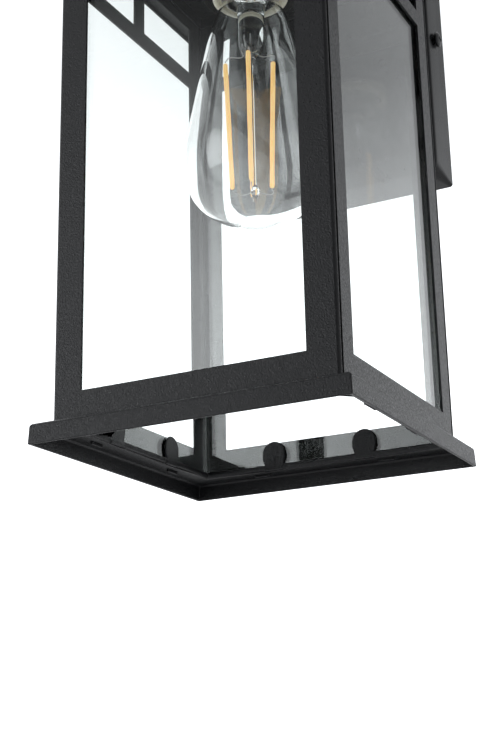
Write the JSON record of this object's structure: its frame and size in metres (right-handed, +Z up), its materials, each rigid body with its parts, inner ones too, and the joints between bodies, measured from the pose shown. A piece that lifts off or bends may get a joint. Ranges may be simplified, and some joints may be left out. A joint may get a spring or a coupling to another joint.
{
  "type": "outdoor wall lantern",
  "caption": "Square glazed sheet-metal wall lantern, open underneath, with an overhanging hipped roof, a deep wall plate and a screw-in filament bulb.",
  "frame": {"origin": "on the wall, at the centre of the wall plate and its bracket", "axes": "+Y into the wall, the lantern stands out towards -Y, +Z up, +X to the viewer's right"},
  "size_m": [0.16, 0.1841, 0.3162],
  "materials": {
    "black_powder": "fine sand-textured black powder coat",
    "zinc_steel": "bright zinc plate",
    "ground_green": "green lacquer",
    "contact_brass": "plain brass",
    "lamp_shell": "bright rolled thread",
    "porcelain": "cream glaze",
    "pane_glass": "clear float glass with green cut edges",
    "bulb_glass": "clear blown glass",
    "insulator": "opaque black glass",
    "solder": "dull solder",
    "support_wire": "drawn wire",
    "phosphor": "yellow phosphor coat",
    "circuit_board": "solder mask",
    "foam": "closed-cell foam",
    "black_lead": "lead insulation",
    "white_lead": "lead insulation",
    "green_lead": "lead insulation",
    "connector": "moulded orange"
  },
  "bodies": {
    "root": {"front_panel": "black_powder", "back_panel": "black_powder", "left_panel": "black_powder", "right_panel": "black_powder", "front_glass": "pane_glass", "back_glass": "pane_glass", "left_glass": "pane_glass", "right_glass": "pane_glass", "bottom_skirt": "black_powder", "ceiling_tray": "black_powder", "roof_base": "black_powder", "roof_cap": "black_powder", "hanger_strap": "zinc_steel", "lamp_pipe": "zinc_steel", "lamp_pipe_nut": "zinc_steel", "finial_plate": "black_powder", "finial_nut": "black_powder", "wire_pipe": "zinc_steel", "wire_pipe_nut_front": "zinc_steel", "wire_pipe_nut_rear": "zinc_steel", "hanger_screw_left": "zinc_steel", "hanger_screw_right": "zinc_steel", "hanger_nut_left": "zinc_steel", "hanger_nut_right": "zinc_steel", "socket_cup": "black_powder", "socket_body": "porcelain", "screw_shell": "lamp_shell", "centre_contact": "contact_brass", "socket_bridge": "zinc_steel", "live_terminal_screw": "contact_brass", "neutral_terminal_screw": "zinc_steel", "bridge_screw_front": "zinc_steel", "bridge_screw_rear": "zinc_steel", "backplate": "black_powder", "wall_bracket": "zinc_steel", "upper_gasket": "foam", "lower_gasket": "foam", "side_screw_left": "black_powder", "side_screw_right": "black_powder", "ground_screw": "ground_green", "live_lead": "black_lead", "neutral_lead": "white_lead", "earth_lead": "green_lead", "live_connector": "connector", "neutral_connector": "connector", "earth_connector": "connector"},
    "bulb_tip": {"bulb_tip_contact": "solder"},
    "bulb": {"bulb_glass": "bulb_glass", "bulb_stem": "bulb_glass", "upper_filament_wires": "support_wire", "lower_filament_wires": "support_wire", "filament_1": "phosphor", "filament_2": "phosphor", "filament_3": "phosphor", "filament_4": "phosphor", "bulb_cap_shell": "lamp_shell", "bulb_driver_board": "circuit_board", "bulb_cap_insulator": "insulator"}
  },
  "joints": [
    {"name": "bulb_travel", "type": "slide", "parent": "root", "child": "bulb_tip", "axis": [0, 0, -1], "range_m": [0, 0.0146]},
    {"name": "bulb_turn", "type": "hinge", "parent": "bulb_tip", "child": "bulb", "pos_m": [0, -0.10535, 0], "axis": [0, 0, -1], "range_deg": [0, 1440]}
  ],
  "couplings": [
    {"joint": "bulb_travel", "follows": "bulb_turn", "m_per_rad": 0.00057757}
  ]
}
